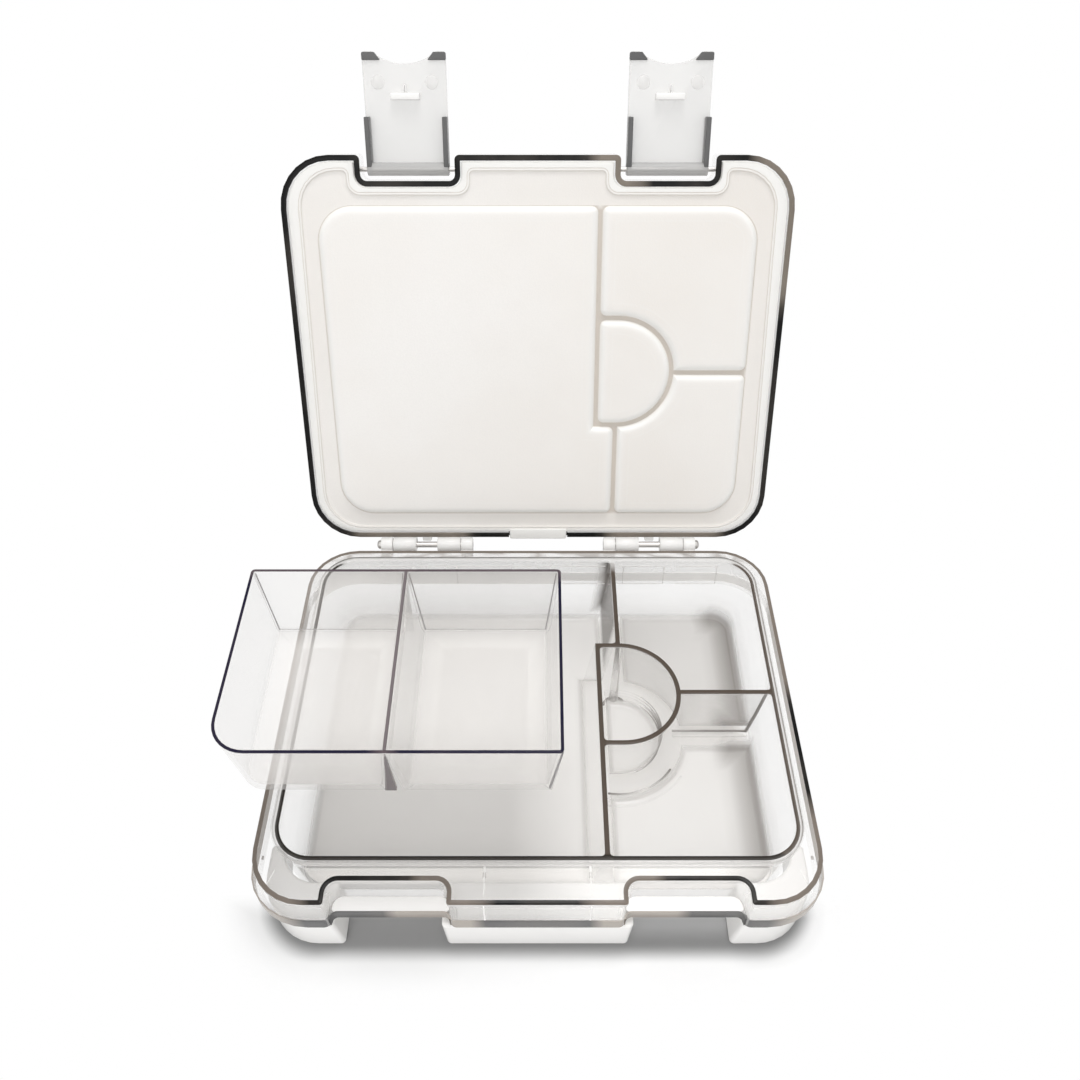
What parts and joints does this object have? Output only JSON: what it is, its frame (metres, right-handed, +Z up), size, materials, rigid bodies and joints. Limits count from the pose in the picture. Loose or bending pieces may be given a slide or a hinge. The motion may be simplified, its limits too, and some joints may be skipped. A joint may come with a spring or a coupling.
{
  "type": "bento lunch box",
  "caption": "Clear lunch box with a divided lift-out tray, a lift-out insert tray, and a hinged lid with a soft seal and pivoting front latches.",
  "frame": {"origin": "centre of the flat face that the case rests on", "axes": "+Z up; the latches face -Y and the hinges are at +Y; +X is to the right seen from the front"},
  "size_m": [0.228, 0.2741, 0.2409],
  "materials": {
    "clear_plastic": "clear moulded plastic with a faint warm smoke tint, darker along thick edges",
    "insert_plastic": "clear moulded plastic with a cool dark edge",
    "latch_plastic": "clear moulded plastic, smoke grey where it is thick",
    "seal_silicone": "soft off-white silicone, satin",
    "pin_steel": "plain drawn steel"
  },
  "bodies": {
    "base": {"case": "clear_plastic", "left_hinge_pin": "pin_steel", "right_hinge_pin": "pin_steel"},
    "compartment_tray": {"compartment_tray": "clear_plastic"},
    "insert_tray": {"insert_tray": "insert_plastic"},
    "lid": {"lid_shell": "clear_plastic", "left_latch_pin": "pin_steel", "right_latch_pin": "pin_steel"},
    "lid_seal": {"lid_seal": "seal_silicone"},
    "left_latch": {"left_latch": "latch_plastic"},
    "right_latch": {"right_latch": "latch_plastic"}
  },
  "joints": [
    {"name": "lid_hinge", "type": "hinge", "parent": "base", "child": "lid", "pos_m": [0, 0.092, 0.042], "axis": [-1, 0, 0], "range_deg": [-112.8, 0]},
    {"name": "left_latch_pivot", "type": "hinge", "parent": "lid", "child": "left_latch", "pos_m": [-0.055, 0.16404, 0.20047], "axis": [-1, 0, 0], "range_deg": [-90, 0]},
    {"name": "right_latch_pivot", "type": "hinge", "parent": "lid", "child": "right_latch", "pos_m": [0.055, 0.16404, 0.20047], "axis": [-1, 0, 0], "range_deg": [-90, 0]},
    {"name": "lid_seal_pull", "type": "slide", "parent": "lid", "child": "lid_seal", "axis": [0, -0.9219, 0.3875], "range_m": [0, 0.01]},
    {"name": "compartment_tray_lift", "type": "slide", "parent": "base", "child": "compartment_tray", "axis": [0, 0, 1], "range_m": [0, 0.06]},
    {"name": "insert_tray_lift", "type": "slide", "parent": "compartment_tray", "child": "insert_tray", "axis": [-0.2127, 0.0492, 0.9759], "range_m": [-0.0752, 0]}
  ],
  "couplings": [
    {"joint": "insert_tray_lift", "follows": "lid_hinge", "m_per_rad": 0.038197}
  ]
}
